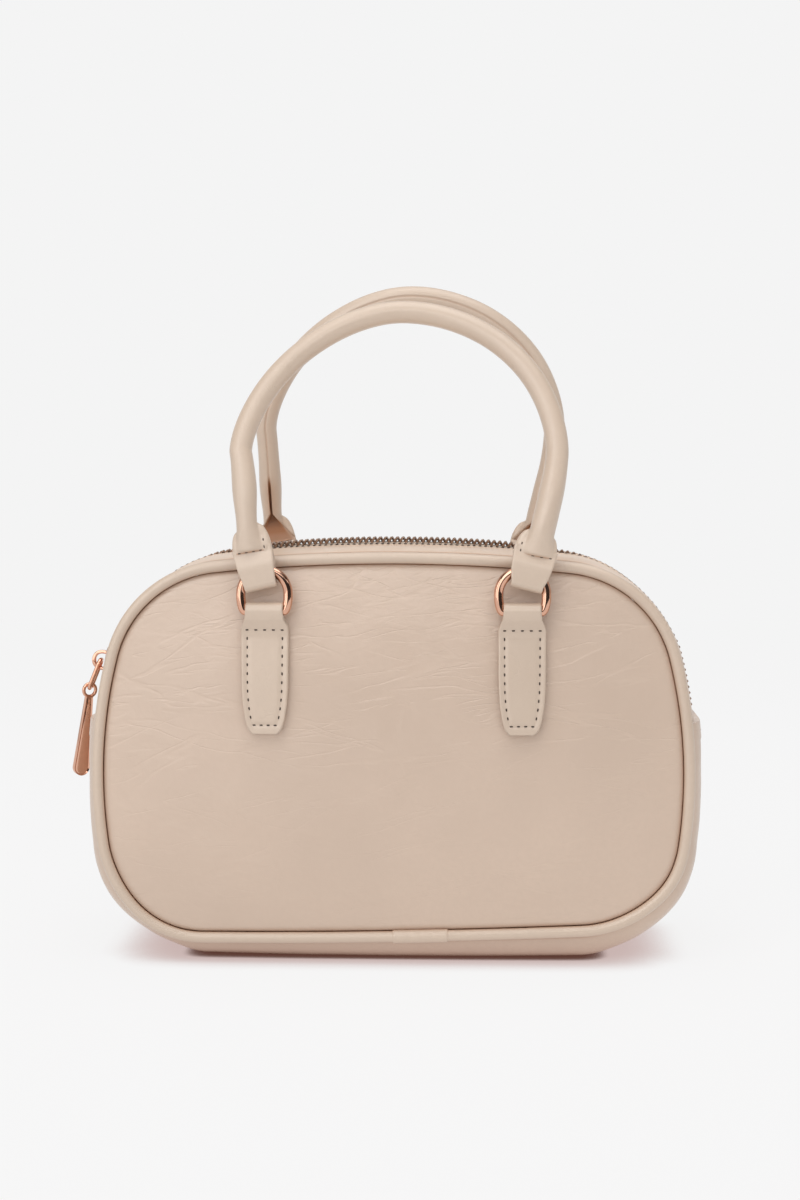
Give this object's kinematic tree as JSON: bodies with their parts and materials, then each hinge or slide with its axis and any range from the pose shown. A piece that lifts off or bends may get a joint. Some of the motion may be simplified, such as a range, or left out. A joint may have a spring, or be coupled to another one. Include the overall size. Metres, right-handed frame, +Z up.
{
  "type": "handbag",
  "caption": "Small rounded zip-top handbag in soft leather: domed panels edged with piping, a bulging gusset, and rolled handles on metal rings held by stitched tabs.",
  "frame": {"origin": "middle of the flat bottom of the gusset, on the surface the bag stands on", "axes": "+Z up, the front panel towards -Y, +X to the right of a person facing the front"},
  "size_m": [0.2799, 0.1106, 0.2946],
  "materials": {
    "leather": "semi-gloss beige leather with fine creases",
    "rose_gold": "polished rose-gold plating",
    "zip_bronze": "dark antique bronze",
    "zip_tape": "woven tape"
  },
  "bodies": {
    "bag": {"gusset": "leather", "front_panel": "leather", "back_panel": "leather", "front_piping": "leather", "back_piping": "leather", "zip_strip_front": "leather", "zip_strip_back": "leather", "zip_tape_front": "zip_tape", "zip_tape_back": "zip_tape", "zip_teeth": "zip_bronze", "zip_slider": "rose_gold", "front_left_tab": "leather", "front_right_tab": "leather", "back_left_tab": "leather", "back_right_tab": "leather"},
    "zip_pull": {"zip_pull_link": "rose_gold", "zip_pull_drop": "rose_gold"},
    "front_handle": {"front_handle": "leather", "front_left_ring": "rose_gold", "front_right_ring": "rose_gold"},
    "back_handle": {"back_handle": "leather", "back_left_ring": "rose_gold", "back_right_ring": "rose_gold"}
  },
  "joints": [
    {"name": "zip_pull_swing", "type": "hinge", "parent": "bag", "child": "zip_pull", "pos_m": [-0.13302, 0, 0.12583], "axis": [0, 1, 0], "range_deg": [0, 150]},
    {"name": "front_handle_swing", "type": "hinge", "parent": "bag", "child": "front_handle", "pos_m": [0, -0.05136, 0.152], "axis": [1, 0, 0], "range_deg": [0, 135]},
    {"name": "back_handle_swing", "type": "hinge", "parent": "bag", "child": "back_handle", "pos_m": [0, 0.05136, 0.152], "axis": [-1, 0, 0], "range_deg": [0, 135]}
  ]
}
